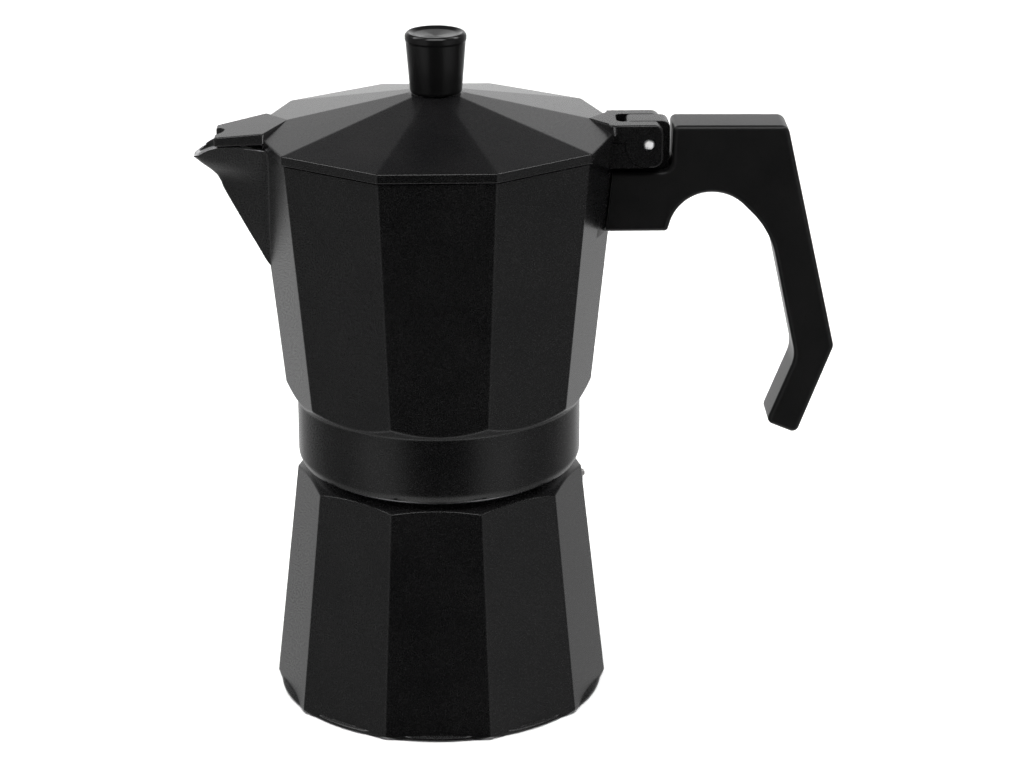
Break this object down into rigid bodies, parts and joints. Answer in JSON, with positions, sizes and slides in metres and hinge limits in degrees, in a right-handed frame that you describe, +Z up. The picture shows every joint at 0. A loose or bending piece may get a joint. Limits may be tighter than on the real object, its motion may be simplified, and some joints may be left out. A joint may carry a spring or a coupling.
{
  "type": "moka pot",
  "caption": "Faceted stovetop coffee maker: a boiler with safety valve and funnel, a screwed-on vessel with spout and column, a hinged lid with knob, and a side handle.",
  "frame": {"origin": "centre of the boiler's flat underside, on the pot's turning axis", "axes": "+Z up along the pot's axis, +X from the axis towards the handle, so the spout points along -X"},
  "size_m": [0.1868, 0.1022, 0.201],
  "materials": {
    "black_coating": "satin black coating on cast aluminium",
    "bare_aluminium": "bare machined aluminium",
    "black_plastic": "fine-grained moulded phenolic plastic",
    "steel": "plain steel",
    "brass": "turned brass",
    "silicone": "matt silicone"
  },
  "bodies": {
    "base": {"boiler": "black_coating", "valve_body": "steel", "valve_washer": "silicone", "valve_cap": "steel", "valve_spring": "steel", "funnel": "bare_aluminium", "funnel_tube": "bare_aluminium", "funnel_filter": "bare_aluminium"},
    "plunger": {"valve_plunger": "steel", "valve_seal": "silicone"},
    "seal": {"gasket": "silicone", "filter_plate": "bare_aluminium"},
    "vessel": {"upper_vessel": "black_coating", "column": "bare_aluminium", "hinge_pin": "steel", "handle": "black_plastic", "handle_screw": "steel"},
    "lid": {"lid": "black_coating", "lid_knob": "black_plastic", "knob_insert": "brass", "knob_washer": "steel", "knob_screw": "steel"}
  },
  "joints": [
    {"name": "vessel_rise", "type": "slide", "parent": "base", "child": "seal", "axis": [0, 0, 1], "range_m": [0, 0.00451]},
    {"name": "vessel_turn", "type": "hinge", "parent": "seal", "child": "vessel", "pos_m": [0, 0, 0.08], "axis": [0, 0, 1], "range_deg": [0, 540]},
    {"name": "lid_hinge", "type": "hinge", "parent": "vessel", "child": "lid", "pos_m": [0.061, 0, 0.1692], "axis": [0, 1, 0], "range_deg": [0, 100]},
    {"name": "valve_travel", "type": "slide", "parent": "base", "child": "plunger", "axis": [0.9535, 0.2819, 0.1064], "range_m": [0, 0.0015], "stiffness_N_per_m": 1500, "springref_m": -0.0008, "deforming": ["valve_spring"]}
  ],
  "couplings": [
    {"joint": "vessel_rise", "follows": "vessel_turn", "m_per_rad": 0.00047746}
  ]
}
